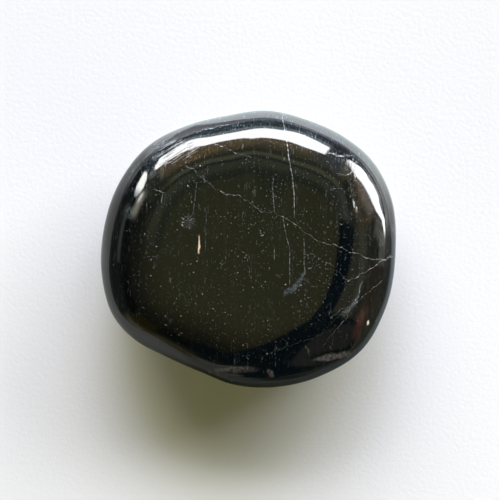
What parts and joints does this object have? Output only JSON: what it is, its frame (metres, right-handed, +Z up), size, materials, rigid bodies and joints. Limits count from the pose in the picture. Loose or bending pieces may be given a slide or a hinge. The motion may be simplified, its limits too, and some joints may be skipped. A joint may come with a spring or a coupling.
{
  "type": "tumbled hypersthene stone",
  "caption": "Tumbled and polished near-black hypersthene, a flattish rounded stone that rests on a small flat spot.",
  "frame": {"origin": "on the flat spot that the stone rests on, under the middle of its outline seen from above", "axes": "+X along the stone's longest way, +Y across it, +Z up through its thickness"},
  "size_m": [0.0316, 0.0296, 0.0102],
  "materials": {
    "polished_stone": "tumbled to a high polish"
  },
  "bodies": {
    "root": {"stone": "polished_stone"}
  },
  "joints": []
}
